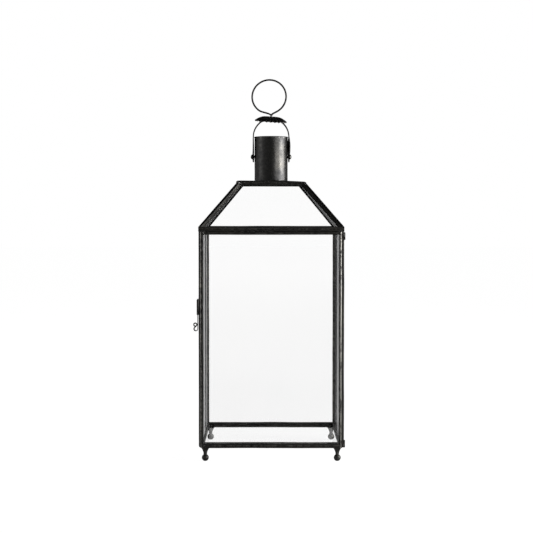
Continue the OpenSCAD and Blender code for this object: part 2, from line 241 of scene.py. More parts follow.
def make_metal(name, dark, body, pale, worn, roughness, grain, bump=0.6, wear=0.6):
    """Blackened metal: blotches, fine mottling, drawn lines along each piece, and rubbed edges.

    dark, body and pale are the blotch colours, worn the colour of a rubbed edge and of the painted glint on
    the hinge stile's slope."""
    material, t = new_material(name)
    place = t.add("ShaderNodeTexCoord").outputs["Object"]
    along = t.add("ShaderNodeUVMap").outputs["UV"]

    blotch = t.noise(place, grain, 5.0, 0.6, 0.4)
    mottle = t.noise(place, grain * 11, 4.0, 0.7)
    drawn = t.noise(t.scaled(along, (40, 1400, 1)), 1.0, 3.0, 0.6)
    colour = t.ramp(blotch, [(0.28, dark), (0.5, body), (0.72, pale)])
    speck = t.span(mottle, 0.35, 0.7, 0.0, 0.55)
    colour = t.mix(speck, colour, dark)

    # the wear attribute marks rubbed edges, and the painted glint on the hinge stile's slope
    rub = t.add("ShaderNodeAttribute", attribute_name="wear").outputs["Fac"]
    broken = t.span(t.noise(place, grain * 6, 5.0, 0.7), 0.42, 0.62, 0.0, 1.0)
    rubbed = t.math("MULTIPLY", t.math("MULTIPLY", rub, broken), wear)
    colour = t.mix(rubbed, colour, worn)

    rough = t.span(blotch, 0.3, 0.7, roughness + 0.1, roughness - 0.06)
    rough = t.math("ADD", rough, t.span(mottle, 0.3, 0.7, -0.05, 0.08))
    rough = t.math("SUBTRACT", rough, t.math("MULTIPLY", rubbed, 0.12))

    height = t.math("ADD", t.math("MULTIPLY", mottle, 0.5), t.math("MULTIPLY", drawn, 0.35))
    height = t.math("ADD", height, t.math("MULTIPLY", t.noise(place, grain * 2.5, 3.0), 0.3))
    shader = t.shader("ShaderNodeBsdfPrincipled", {
        "Metallic": 1.0, "Base Color": colour, "Roughness": rough,
        "Normal": t.bumped(height, bump, 0.12 * MM)})
    t.link(shader, t.add("ShaderNodeOutputMaterial").inputs["Surface"])
    return material


def painted_light_and_wipe_bands(t, place, bands):
    """Greys of upright bands that wander a little: faint wipe marks, and on the side panes painted streaks of
    light and shade that stand in for lit post faces seen through the glass. bands are (depth into the
    lantern, grey) stops.
    """
    drift = t.add("ShaderNodeTexNoise")
    t.link(t.scaled(place, (1, 1, 22)), drift.inputs["Vector"])
    drift.inputs["Scale"].default_value = 1.0
    slide = t.add("ShaderNodeVectorMath", operation="MULTIPLY_ADD")
    t.link(drift.outputs["Color"], slide.inputs[0])
    slide.inputs[1].default_value = (0, BAND_DRIFT, 0)
    slide.inputs[2].default_value = (0, -BAND_DRIFT / 2, 0)
    bend = t.add("ShaderNodeVectorMath", operation="ADD")
    t.link(place, bend.inputs[0])
    t.link(slide.outputs["Vector"], bend.inputs[1])
    return t.ramp(t.axes(bend.outputs["Vector"])["Y"], [(depth * MM, grey(level)) for depth, level in bands])


def make_glass(name, tint, haze, veil_power, bands, fall=0.026, mirror_power=5.0):
    """Clear flat glass: lets light straight through, mirrors by angle, with faint dust and wipe marks, and
    painted streaks of light and shade on the side panes.

    The dust and the painted streaks show at a glancing angle. fall is how much duller the glass is near its
    lower edge."""
    material, t = new_material(name)
    place = t.add("ShaderNodeTexCoord").outputs["Object"]
    cloud = t.noise(place, 9.0, 3.0, 0.5, 0.6)
    wipe = t.noise(t.scaled(place, (60, 60, 14)), 1.0, 4.0, 0.6, 0.8)
    streaks = t.noise(t.scaled(place, (260, 260, 3)), 1.0, 3.0, 0.6, 0.3)
    facing = t.add("ShaderNodeLayerWeight")
    facing.inputs["Blend"].default_value = 0.5
    slant = facing.outputs["Facing"]
    outer = t.math("SUBTRACT", 1.0, t.add("ShaderNodeNewGeometry").outputs["Backfacing"])

    # the glass lets a little less through towards its lower edge
    clear_by_height = t.span(t.axes(place)["Z"], *GLASS_FALL_HEIGHTS, tint, tint - fall)
    clear = t.shader("ShaderNodeBsdfTransparent", {
        "Color": t.math("SUBTRACT", clear_by_height, t.span(cloud, 0.3, 0.7, 0.0, 0.003))})
    mirror = t.shader("ShaderNodeBsdfGlossy", {
        "Color": grey(1.0), "Roughness": t.span(wipe, 0.3, 0.8, 0.015, 0.07),
        "Normal": t.bumped(t.noise(place, 18.0, 1.0), 0.25, 0.05 * MM)})
    glance = t.span(t.math("POWER", slant, mirror_power), 0.0, 1.0, MIRROR_HEAD_ON, 1.0)
    pane = t.blend(t.math("MULTIPLY", glance, outer), clear, mirror)

    veil = t.math("MULTIPLY", t.math("POWER", slant, veil_power), t.span(streaks, 0.35, 0.65, 0.7, 1.0))
    share = t.math("ADD", veil, t.span(wipe, 0.4, 0.8, 0.0, haze))
    # band greys: dust, and on the side panes painted streaks of light and shade
    dust_and_painted_light_grey = t.mix(t.span(streaks, 0.3, 0.7, 0.35, 0.0), painted_light_and_wipe_bands(t, place, bands), grey(0.05))
    near = t.shader("ShaderNodeBsdfDiffuse", {"Color": dust_and_painted_light_grey})
    through = t.shader("ShaderNodeBsdfTranslucent", {"Color": dust_and_painted_light_grey})
    coat_of_dust_and_painted_light = t.blend(t.math("MULTIPLY", share, outer), pane, t.blend(0.5, near, through))
    t.link(coat_of_dust_and_painted_light, t.add("ShaderNodeOutputMaterial").inputs["Surface"])
    return material


MIRROR_HEAD_ON = 0.012
GLASS_FALL_HEIGHTS = (0.22, 0.07)
# How far the bands wander, and their greys by depth in mm on the left, right and other panes; on the left and
# right panes the greys are painted streaks of light and shade, on the others faint wipe marks
BAND_DRIFT = 0.022
BANDS_LEFT = [(-80, 0.35), (-45, 0.65), (-22, 0.9), (2, 0.9), (10, 0.12), (32, 0.12), (40, 0.8), (60, 0.75),
              (68, 0.12), (80, 0.08)]
BANDS_RIGHT = [(-80, 0.03), (-40, 0.04), (-28, 0.35), (-12, 0.5), (-2, 0.45), (8, 0.06), (80, 0.03)]
BANDS_PLAIN = [(-80, 0.3), (0, 0.42), (80, 0.3)]


def make_floor_material():
    """A pale floor that keeps a soft contact shadow."""
    material, t = new_material("floor")
    far = t.add("ShaderNodeVectorMath", operation="LENGTH")
    t.link(t.add("ShaderNodeTexCoord").outputs["Object"], far.inputs[0])
    paint = t.shader("ShaderNodeBsdfDiffuse", {"Color": grey(FLOOR_PAINT)})
    lift = t.shader("ShaderNodeEmission", {
        "Strength": t.span(far.outputs["Value"], *FLOOR_REACH, FLOOR_LIFT_NEAR, FLOOR_LIFT_FAR)})
    seen = t.add("ShaderNodeAddShader")
    t.link(paint, seen.inputs[0])
    t.link(lift, seen.inputs[1])
    dull = t.shader("ShaderNodeBsdfDiffuse", {"Color": grey(FLOOR_BOUNCE)})
    both = t.blend(t.add("ShaderNodeLightPath").outputs["Is Camera Ray"], dull, seen.outputs[0])
    t.link(both, t.add("ShaderNodeOutputMaterial").inputs["Surface"])
    return material


# The floor's own grey, the light it gives off to the camera near and far from the lantern, the distances
# between which that changes, and how much light it throws back up
FLOOR_PAINT = 0.2
FLOOR_LIFT_NEAR = 0.955
FLOOR_LIFT_FAR = 0.98
FLOOR_REACH = (0.2, 0.9)
FLOOR_BOUNCE = 0.5


# ------------------------------------ mesh helpers

def clamp_to_cad(point):
    return Vector([min(max(value, low), high) for value, low, high in zip(point, *CAD_BOX)])


def shade_smooth(mesh, sharp):
    for face in mesh.polygons:
        face.use_smooth = True
    mesh.set_sharp_from_angle(angle=math.radians(sharp))


def add_piece(name, points, faces, body, material, uvs=None, wear=0.3, sharp=32.0, nodes=()):
    """Makes a mesh object, gives it its material and wear, and lets it ride on a body.

    wear is one number or a list of one for each point."""
    mesh = bpy.data.meshes.new(name)
    mesh.from_pydata([clamp_to_cad(p) for p in points], [], faces)
    if uvs:
        layer = mesh.uv_layers.new(name="UVMap")
        for loop in mesh.loops:
            layer.data[loop.index].uv = uvs[loop.vertex_index]
    rub = mesh.attributes.new("wear", "FLOAT", "POINT")
    for index in range(len(points)):
        rub.data[index].value = wear[index] if isinstance(wear, list) else wear
    work = bmesh.new()
    work.from_mesh(mesh)
    bmesh.ops.recalc_face_normals(work, faces=work.faces)
    work.to_mesh(mesh)
    work.free()
    shade_smooth(mesh, sharp)
    mesh.materials.append(material)
    piece = bpy.data.objects.new(name, mesh)
    bpy.context.scene.collection.objects.link(piece)
    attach(piece, body)
    if nodes:
        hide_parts(*nodes)
    return piece


def wobble(seed, t, waves=3):
    """A smooth repeatable wander between about -1 and 1."""
    return sum(math.sin(t * (1.7 + 1.9 * k) + seed * (2.3 + k)) / (k + 1) for k in range(waves)) / 1.6


def rounded(corners, steps=4):
    """Rounds a closed clockwise outline. corners are (x, y, radius); returns (x, y, wear) points."""
    result = []
    count = len(corners)
    for i, (x, y, radius) in enumerate(corners):
        here = Vector((x, y))
        before = Vector(corners[i - 1][:2]) - here
        after = Vector(corners[(i + 1) % count][:2]) - here
        turn = before.angle(after)
        outward = before.x * after.y - before.y * after.x
        edge = 1.0 if outward > 0 else 0.0
        if radius <= 0:
            result.append((x, y, edge))
            continue
        reach = min(radius / math.tan(turn / 2), before.length * 0.49, after.length * 0.49)
        start, end = here + before.normalized() * reach, here + after.normalized() * reach
        for k in range(steps + 1):
            s = k / steps
            point = start * (1 - s) ** 2 + here * 2 * s * (1 - s) + end * s ** 2
            result.append((point.x, point.y, edge))
    return result


def loft(rings, closed_path=False):
    """Joins equal rings of points into (points, faces, uvs), with caps unless the path is closed."""
    count = len(rings[0])
    points = [p for ring in rings for p in ring]
    faces = []
    for i in range(len(rings) if closed_path else len(rings) - 1):
        a, b = i * count, ((i + 1) % len(rings)) * count
        faces += [(a + k, a + (k + 1) % count, b + (k + 1) % count, b + k) for k in range(count)]
    if not closed_path:
        faces.append(tuple(reversed(range(count))))
        faces.append(tuple((len(rings) - 1) * count + k for k in range(count)))
    around = [0.0]
    for k in range(1, count):
        around.append(around[-1] + (rings[0][k] - rings[0][k - 1]).length)
    uvs, run = [], 0.0
    for i, ring in enumerate(rings):
        if i:
            run += (ring[0] - rings[i - 1][0]).length
        uvs += [(run, a) for a in around]
    return points, faces, uvs


def frames_along(path):
    """Turn-free axes (side, up) for each point of a path."""
    tangents = []
    for i in range(len(path)):
        a, b = path[max(i - 1, 0)], path[min(i + 1, len(path) - 1)]
        tangents.append((b - a).normalized())
    side = tangents[0].orthogonal().normalized()
    result = []
    for i, tangent in enumerate(tangents):
        if i:
            side = tangents[i - 1].rotation_difference(tangent) @ side
        result.append((side.copy(), tangent.cross(side)))
    return result


def tube(path, radius, sides):
    """A round wire along a path. radius is a number or a function of the share of the way."""
    rings = []
    for i, ((side, up), centre) in enumerate(zip(frames_along(path), path)):
        r = radius(i / (len(path) - 1)) if callable(radius) else radius
        rings.append([centre + (side * math.cos(a) + up * math.sin(a)) * r
                      for a in (2 * math.pi * k / sides for k in range(sides))])
    return loft(rings)


def lathe(profile, sides, wander=0.0, seed=0):
    """Turns (radius, height) points about Z. A profile that starts and ends off the axis closes on itself."""
    solid = profile[0][0] == 0
    inner = profile[1:-1] if solid else profile
    rings = []
    for k in range(sides):
        a = 2 * math.pi * k / sides
        grow = 1 + wander * wobble(seed, 2 * a, 2)
        rings.append([Vector((r * grow * math.cos(a), r * grow * math.sin(a), z)) for r, z in inner])
    count = len(inner)
    points = [p for ring in rings for p in ring]
    faces = []
    for k in range(sides):
        a, b = k * count, ((k + 1) % sides) * count
        for i in range(count if not solid else count - 1):
            j = (i + 1) % count
            faces.append((a + i, b + i, b + j, a + j))
    if solid:
        low, high = len(points), len(points) + 1
        points += [Vector((0, 0, profile[0][1])), Vector((0, 0, profile[-1][1]))]
        for k in range(sides):
            a, b = k * count, ((k + 1) % sides) * count
            faces += [(a, b, low), (a + count - 1, high, b + count - 1)]
    return points, faces


def trim(piece, cuts):
    """Cuts a piece by planes, each (point, outward normal), and closes it again."""
    work = bmesh.new()
    work.from_mesh(piece.data)
    for point, normal in cuts:
        everything = work.verts[:] + work.edges[:] + work.faces[:]
        bmesh.ops.bisect_plane(work, geom=everything, plane_co=point, plane_no=normal, clear_outer=True)
        open_edges = [e for e in work.edges if e.is_boundary]
        bmesh.ops.holes_fill(work, edges=open_edges, sides=0)
    bmesh.ops.recalc_face_normals(work, faces=work.faces)
    work.to_mesh(piece.data)
    work.free()
    shade_smooth(piece.data, 32)


# ------------------------------------ folded bars

def channel_outline(width, depth):
    """A folded channel: two round lips with a valley between them on the outer face, a seam inside.

    The first coordinate runs across the face, the second from the outer face inwards."""
    half = width / 2
    corners = [
        (-half, depth, 0.5 * MM), (-half, 0, 1.1 * MM), (-1.15 * MM, 0, 0.6 * MM),
        (-0.35 * MM, VALLEY, 0.35 * MM), (0.35 * MM, VALLEY, 0.35 * MM), (1.15 * MM, 0, 0.6 * MM),
        (half, 0, 1.1 * MM), (half, depth, 0.5 * MM), (0.5 * MM, depth, 0.2 * MM),
        (0, depth - 0.5 * MM, 0), (-0.5 * MM, depth, 0.2 * MM),
    ]
    return rounded(corners)


def post_outline(width):
    """A corner post with two outer faces, at x 0 and y 0, and the square towards -x and -y."""
    middle = -width / 2
    lip, floor = 1.1 * MM, 0.35 * MM
    corners = [
        (-width, -width, 0.4 * MM), (-width, 0, 0.9 * MM), (middle - lip, 0, 0.6 * MM),
        (middle - floor, -VALLEY, 0.3 * MM), (middle + floor, -VALLEY, 0.3 * MM),
        (middle + lip, 0, 0.6 * MM), (0, 0, 1.3 * MM), (0, middle + lip, 0.6 * MM),
        (-VALLEY, middle + floor, 0.3 * MM), (-VALLEY, middle - floor, 0.3 * MM),
        (0, middle - lip, 0.6 * MM), (0, -width, 0.9 * MM),
    ]
    return rounded(corners)


VALLEY = 0.75 * MM
BAR_SEGMENT = 6 * MM
CORNER_CUT = 2.4 * MM
SWAY = 0.14 * MM
# Worn colour on the hinge stile's slope, turned far up so that its glint is a painted highlight
SLOPE_WEAR_AND_GLINT = 2.5


def bar_rings(outline, start, end, across, inward, seed, sway=SWAY):
    """Rings of a slightly hand-bent bar from start to end."""
    length = (end - start).length
    steps = max(8, round(length / BAR_SEGMENT))
    rings = []
    for i in range(steps + 1):
        t = i / steps
        travel = t * length / (40 * MM)
        hold = math.sin(math.pi * t) ** 0.5
        shift = (across * wobble(seed, travel) + inward * abs(wobble(seed + 5, travel))) * sway * hold
        swell = 1 + 0.012 * wobble(seed + 9, travel * 2.2)
        centre = start.lerp(end, t) + shift
        rings.append([centre + across * x * swell + inward * y for x, y, _ in outline])
    return rings


def narrow_start(rings, share):
    """Narrows a bar at its first ring by a share, which fades to nothing at the last ring."""
    for i, ring in enumerate(rings):
        middle = sum(ring, Vector()) / len(ring)
        scale = 1 - share * (1 - i / (len(rings) - 1))
        rings[i] = [middle + (p - middle) * scale for p in ring]


def stepped_outline(width, depth):
    """The hinge stile: a slim bead, a slope that faces outwards, and a sunk strip up to the outer edge. The
    slope gets a painted highlight of pale worn colour.
    """
    half = width / 2
    corners = [
        (-half, depth, 0.5 * MM), (-half, 0, 0.1 * MM), (-half + 0.5 * MM, 0, 0.1 * MM),
        (-half + 1.5 * MM, 1.3 * MM, 0.15 * MM), (half - 0.4 * MM, 1.35 * MM, 0.3 * MM),
        (half, 1.7 * MM, 0.3 * MM), (half, depth, 0.5 * MM),
    ]
    # the slope carries pale worn colour as a painted highlight
    return [(x, y, SLOPE_WEAR_AND_GLINT if 0.3 * MM < x + half < 1.5 * MM and y < 1.3 * MM else 0.0)
            for x, y, _ in rounded(corners)]


def add_bar(node, outline, rings, body, metal):
    points, faces, uvs = loft(rings)
    wear = [w for _ in rings for _, _, w in outline]
    return add_piece(f"{node}_bar", points, faces, body, metal, uvs, wear, nodes=[node])


def make_bar(node, body, out, seed, metal, shape=channel_outline):
    """A straight folded bar in the place of a CAD bar. out is the direction its outer face looks."""
    low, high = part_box(node)
    size = high - low
    axis = max(range(3), key=lambda i: size[i])
    middle = (low + high) / 2
    along = Vector([1.0 if i == axis else 0.0 for i in range(3)])
    across = along.cross(out).normalized()
    width = abs(size.dot(across))
    depth = abs(size.dot(out))
    reach = along * size[axis] / 2
    face = middle + out * depth / 2
    outline = shape(width, depth)
    rings = bar_rings(outline, face - reach, face + reach, across, -out, seed)
    return add_bar(node, outline, rings, body, metal)


def make_post(node, sx, sy, seed, metal):
    low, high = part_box(node)
    corner = Vector((high.x if sx > 0 else low.x, high.y if sy > 0 else low.y, 0))
    outline = post_outline(high.x - low.x)
    rings = bar_rings(outline, corner + Z * low.z, corner + Z * high.z, X * sx, Y * sy, seed, SWAY * 0.6)
    return add_bar(node, outline, rings, "lantern_body", metal)


def cut_corner(piece, node, sign):
    """Cuts the bottom outer corner of an upright bar at 45 degrees."""
    low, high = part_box(node)
    edge = high.x if sign > 0 else low.x
    trim(piece, [(Vector((edge, 0, low.z + CORNER_CUT)), (X * sign - Z).normalized())])


SIDES = {"front": -Y, "back": Y, "left": -X, "right": X}
CORNERS = {"front_left": (-1, -1), "front_right": (1, -1), "back_left": (-1, 1), "back_right": (1, 1)}
EAVE_INSET = 3.7 * MM
CROWN_INSET = 2.3 * MM
HIP_WIDTH = 5.3 * MM
HIP_TAPER = 0.2
HIP_SPARE = 12 * MM
CROWN_SAG = 1.3 * MM


def make_hips(metal):
    """Hip bars along the meeting lines of the roof panes, cut level at both ends."""
    eave_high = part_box("eave_rail_front")[1]
    crown_low, crown_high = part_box("crown_rail_front")
    half = eave_high.x
    eave_mid = half - EAVE_INSET
    crown_mid = crown_high.x - CROWN_INSET
    outline = channel_outline(HIP_WIDTH, HIP_WIDTH)
    for index, (name, (sx, sy)) in enumerate(CORNERS.items()):
        low = Vector((sx * eave_mid, sy * eave_mid, eave_high.z))
        high = Vector((sx * crown_mid, sy * crown_mid, crown_low.z))
        run = (high - low).normalized()
        across = Vector((-sy, sx, 0)).normalized()
        outward = across.cross(run)
        if outward.dot(Vector((sx, sy, 0))) < 0:
            outward.negate()
        face, more = outward * HIP_WIDTH / 2, run * HIP_SPARE
        rings = bar_rings(outline, low - more + face, high + more + face, across, -outward, 31 + index)
        narrow_start(rings, HIP_TAPER)
        piece = add_bar(f"hip_{name}", outline, rings, "lantern_body", metal)
        trim(piece, [
            (Z * (crown_high.z - (CROWN_SAG if sx > 0 else 0)), Z), (Z * (eave_high.z - 0.3 * MM), -Z),
            (Vector((sx * half, 0, 0)), X * sx), (Vector((0, sy * half, 0)), Y * sy)])


def make_frame_bars(metal):
    seed = 0
    for kind in ("base_rail", "top_rail", "eave_rail", "crown_rail"):
        for side, out in SIDES.items():
            seed += 1
            piece = make_bar(f"{kind}_{side}", "lantern_body", out, seed, metal)
            if kind == "crown_rail":
                low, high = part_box(f"{kind}_{side}")
                for v in piece.data.vertices:
                    if v.co.z > (low.z + high.z) / 2:
                        v.co = sagged(v.co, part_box("crown_rail_front")[1].x)
    for name, (sx, sy) in CORNERS.items():
        seed += 1
        cut_corner(make_post(f"post_{name}", sx, sy, seed, metal), f"post_{name}", sx)
    for node, sign in (("stile_left", -1), ("stile_right", 1), ("rail_bottom", 0), ("rail_top", 0)):
        seed += 1
        node = f"door_{node}"
        piece = make_bar(node, "door", -Y, seed, metal, stepped_outline if sign > 0 else channel_outline)
        if sign:
            cut_corner(piece, node, sign)


# ------------------------------------ solder

def make_solder(name, centre, size, seed, body, metal):
    """A smeared lump of solder. size is half of its width, depth and height, in mm."""
    work = bmesh.new()
    bmesh.ops.create_icosphere(work, subdivisions=4, radius=1.0)
    for v in work.verts:
        lump = 1 + 0.22 * noise.noise(v.co * 1.3 + X * seed) + 0.1 * noise.noise(v.co * 3.1 + Y * seed)
        v.co = Vector((v.co.x * size[0], v.co.y * size[1], v.co.z * size[2])) * MM * lump + centre
    points = [v.co.copy() for v in work.verts]
    faces = [tuple(v.index for v in f.verts) for f in work.faces]
    work.free()
    add_piece(name, points, faces, body, metal, wear=0.6, sharp=80)


SOLDER_INSET = 3.6 * MM


def make_all_solder(metal):
    base_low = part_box("base_rail_back")[0]
    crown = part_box("crown_rail_front")[1]
    at = crown.x - 2.6 * MM
    for index, (name, (sx, sy)) in enumerate(CORNERS.items()):
        post_low, post_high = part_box(f"post_{name}")
        corner = (post_low + post_high) / 2
        corner.z = 0
        inset = Vector((-sx, -sy, 0)) * SOLDER_INSET
        make_solder(f"solder_base_{name}", corner + inset * 0.2 + Z * (base_low.z + 1.6 * MM),
                    (3.0, 3.0, 2.0), index + 1, "lantern_body", metal)
        make_solder(f"solder_top_{name}", corner + inset * 0.1 + Z * (post_high.z + 0.2 * MM),
                    (2.95, 2.95, 1.7), index + 11, "lantern_body", metal)
        make_solder(f"solder_crown_{name}", sagged(Vector((sx * at, sy * at, crown.z - 2.4 * MM)), crown.x),
                    (3.0, 3.0, 2.1), index + 21, "lantern_body", metal)
    eave_low, eave_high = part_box("eave_rail_front")
    for index, sx in enumerate((-1, 1)):
        seam = Vector((sx * (eave_high.x - 4.5 * MM), eave_low.y + 0.25 * MM, eave_low.z + 0.35 * MM))
        make_solder(f"solder_seam_{index}", seam, (3.6, 0.45, 0.5), index + 51, "lantern_body", metal)
    for index, (stile, rail) in enumerate((s, r) for s in ("left", "right") for r in ("bottom", "top")):
        s_low, s_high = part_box(f"door_stile_{stile}")
        r_low, r_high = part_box(f"door_rail_{rail}")
        edge = s_high.x if stile == "left" else s_low.x
        centre = Vector((edge, (s_low.y + s_high.y) / 2, (r_low.z + r_high.z) / 2))
        make_solder(f"solder_door_{stile}_{rail}", centre, (1.5, 2.45, 2.4), index + 31, "door", metal)


# ------------------------------------ feet, crown and chimney

# Radius and centre height of a foot's ball, and radius and height of the start of its neck
BALL, BALL_Z, NECK, NECK_Z = 4.1 * MM, 3.9 * MM, 2.05 * MM, 8.7 * MM


def make_feet(metal):
    for index, name in enumerate(CORNERS):
        node = f"foot_{name}"
        low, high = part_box(node)
        centre = Vector(((low.x + high.x) / 2, (low.y + high.y) / 2, 0))
        flare = (high.x - low.x) / 2
        flat = math.sqrt(BALL ** 2 - BALL_Z ** 2)
        start = math.atan2(-BALL_Z, flat)
        stop = math.radians(58)
        profile = [(0, 0), (flat * 0.9, 0)]
        for k in range(15):
            a = start + (stop - start) * k / 14
            profile.append((BALL * math.cos(a), BALL_Z + BALL * math.sin(a)))
        for k in range(1, 13):
            s = k / 12
            r = NECK + (flare - NECK) * s ** 1.9 + 0.15 * MM * math.sin(math.pi * s)
            profile.append((r, NECK_Z + (high.z - NECK_Z) * s))
        profile.append((0, high.z))
        points, faces = lathe(profile, 48, 0.02, index)
        wear = [0.8 if p.z < 2 * MM else 0.35 for p in points]
        add_piece(f"{node}_turned", [p + centre for p in points], faces, "lantern_body", metal,
                  wear=wear, sharp=40, nodes=[node])


def make_chimney(metal):
    """A rolled sheet tube with a lap seam at the back and a rolled rim."""
    low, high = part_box("chimney")
    bead, wall = 0.62 * MM, 0.7 * MM
    radius = high.x - 2 * bead + wall
    bead_z = high.z - bead
    bead_x = radius - wall + bead
    under = bead_z - bead * 0.8
    steps = 40
    profile = [(radius, low.z + (under - low.z) * k / steps) for k in range(steps + 1)]
    for k in range(13):
        a = math.radians(-50 + 280 * k / 12)
        profile.append((bead_x + bead * math.cos(a), bead_z + bead * math.sin(a)))
    profile += [(radius - wall, under - (under - low.z) * k / steps) for k in range(steps + 1)]
    sides = 192
    seam, lap = math.radians(80), math.radians(24)
    rings = []
    for k in range(sides):
        a = 2 * math.pi * k / sides
        into = (a - seam) / lap
        step = 0.4 * MM * max(0.0, min(1.0, into * 12)) * max(0.0, min(1.0, (1 - into) * 3))
        ring = []
        for r, z in profile:
            outer = r > radius - wall * 0.5
            r += 0.16 * MM * noise.noise(Vector((math.cos(a) * 2.2, math.sin(a) * 2.2, z * 70)))
            r += step if outer else 0
            ring.append(Vector((r * math.cos(a), r * math.sin(a), z)))
        rings.append(ring)
    points, faces, _ = loft(rings, closed_path=True)
    wear = [1.0 if p.z > bead_z - 2 * bead else 0.25 for p in points]
    uvs = [(math.atan2(p.y, p.x) * radius, p.z) for p in points]
    add_piece("chimney_tube", points, faces, "lantern_body", metal, uvs, wear, sharp=35,
              nodes=["chimney"])
    return radius


def sagged(point, half):
    """The crown dips towards its right-hand edge, beyond the chimney."""
    share = max(0.0, (point.x - 0.35 * half) / (0.65 * half))
    return point - Z * CROWN_SAG * share


def make_crown_plate(radius, metal):
    """A hand-cut sheet with soft corners and a round hole for the chimney."""
    low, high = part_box("crown_plate")
    half = high.x
    inner = radius + 0.05 * MM
    sides, bands, power = 160, 12, 26
    rings = []
    for k in range(sides):
        a = 2 * math.pi * k / sides
        way = Vector((math.cos(a), math.sin(a), 0))
        edge = half / ((abs(way.x) ** power + abs(way.y) ** power) ** (1 / power))
        edge -= 0.15 * MM * abs(wobble(3, a * 3))
        steps = [inner + (edge - inner) * i / bands for i in range(bands + 1)]
        ring = [way * r + Z * (high.z - 0.12 * MM * (1 - noise.noise(way * r * 60))) for r in steps]
        ring.append(way * edge + Z * ((low.z + high.z) / 2))
        ring.append(way * (edge - 0.15 * MM) + Z * low.z)
        rings.append(ring + [way * r + Z * low.z for r in reversed(steps[:-1])])
    points, faces, _ = loft(rings, closed_path=True)
    points = [sagged(p, half) for p in points]
    wear = [1.0 if max(abs(p.x), abs(p.y)) > half - 1.2 * MM else 0.2 for p in points]
    uvs = [(p.x, p.y) for p in points]
    add_piece("crown_sheet", points, faces, "lantern_body", metal, uvs, wear, sharp=40,
              nodes=["crown_plate"])


def make_chimney_solder(radius, metal):
    """The fillet between the chimney and the crown plate."""
    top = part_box("crown_plate")[1].z
    sides = 160
    rings = []
    for k in range(sides):
        a = 2 * math.pi * k / sides
        grow = 0.75 * MM * (1 + 0.35 * wobble(7, a * 5))
        rings.append([Vector((r * math.cos(a), r * math.sin(a), z)) for r, z in (
            (radius - 0.1 * MM, top - 0.3 * MM), (radius + grow * 1.3, top - 0.3 * MM),
            (radius + grow * 0.75, top + grow * 0.3), (radius + grow * 0.25, top + grow * 0.8),
            (radius - 0.1 * MM, top + grow * 1.2))])
    points, faces, uvs = loft(rings, closed_path=True)
    add_piece("solder_chimney", points, faces, "lantern_body", metal, uvs, 0.5, sharp=60)


# Room under a rivet's head and beside its shoulder
RIVET_GAP = 0.3 * MM


def rivet_profile(inside, bail_out, tip):
    """(radius, distance out) points of a rivet: inner head, shank, shoulder behind the bail, domed head."""
    head, shank, shoulder = 3.0 * MM, 1.6 * MM, 2.6 * MM
    under = bail_out + RIVET_GAP
    behind = bail_out - BAIL_THICK - RIVET_GAP
    rim = under + 0.25 * MM
    profile = [(0, inside), (shoulder * 0.8, inside), (shoulder, inside + 0.5 * MM),
               (shoulder, inside + 0.9 * MM), (shank, inside + 0.9 * MM), (shank, inside + 2.0 * MM),
               (shoulder, inside + 2.0 * MM), (shoulder, behind), (shank, behind), (shank, under),
               (head * 0.97, under)]
    for k in range(9):
        a = math.pi / 2 * k / 9
        profile.append((head * math.cos(a), rim + (tip - rim) * math.sin(a)))
    return profile + [(0, tip)]


def make_rivets(metal):
    """Hammered rivets through the chimney wall and the bail."""
    bail_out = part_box("bail")[1].x
    under = bail_out + RIVET_GAP
    for index, (side, sign) in enumerate((("left", -1), ("right", 1))):
        node = f"rivet_{side}"
        low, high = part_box(node)
        inside, tip = (low.x, high.x) if sign > 0 else (-high.x, -low.x)
        points, faces = lathe(rivet_profile(inside, bail_out, tip), 40, 0.03, index + 3)
        points = [p + p.normalized() * 0.07 * MM * noise.noise(p * 900) if p.z > under else p for p in points]
        turn = Matrix.Rotation(sign * math.pi / 2, 4, "Y")
        points = [turn @ p + Z * (low.z + high.z) / 2 for p in points]
        add_piece(f"{node}_hammered", points, faces, "lantern_body", metal, wear=0.7, sharp=38,
                  nodes=[node])


# ------------------------------------ bail, heat shield and ring

BAIL_THICK = 1.2 * MM
# How far the legs turn from square, in degrees: at the rivets, and about half way up each leg
BAIL_TWIST_LOW = 4.0
BAIL_TWIST_LEFT = 0.0
BAIL_TWIST_RIGHT = 11.0
# Degrees about X and Y, and the height of the disc's middle above the bail
SHIELD_LEAN = (7.0, 4.0)
SHIELD_HUB = 1.1 * MM
FLUTES = 24


def bail_half_width(from_end, half):
    """Half width of the strip at a height above its round lower end."""
    if from_end >= half:
        return half
    return math.sqrt(max(half ** 2 - (half - from_end) ** 2, (0.6 * MM) ** 2))


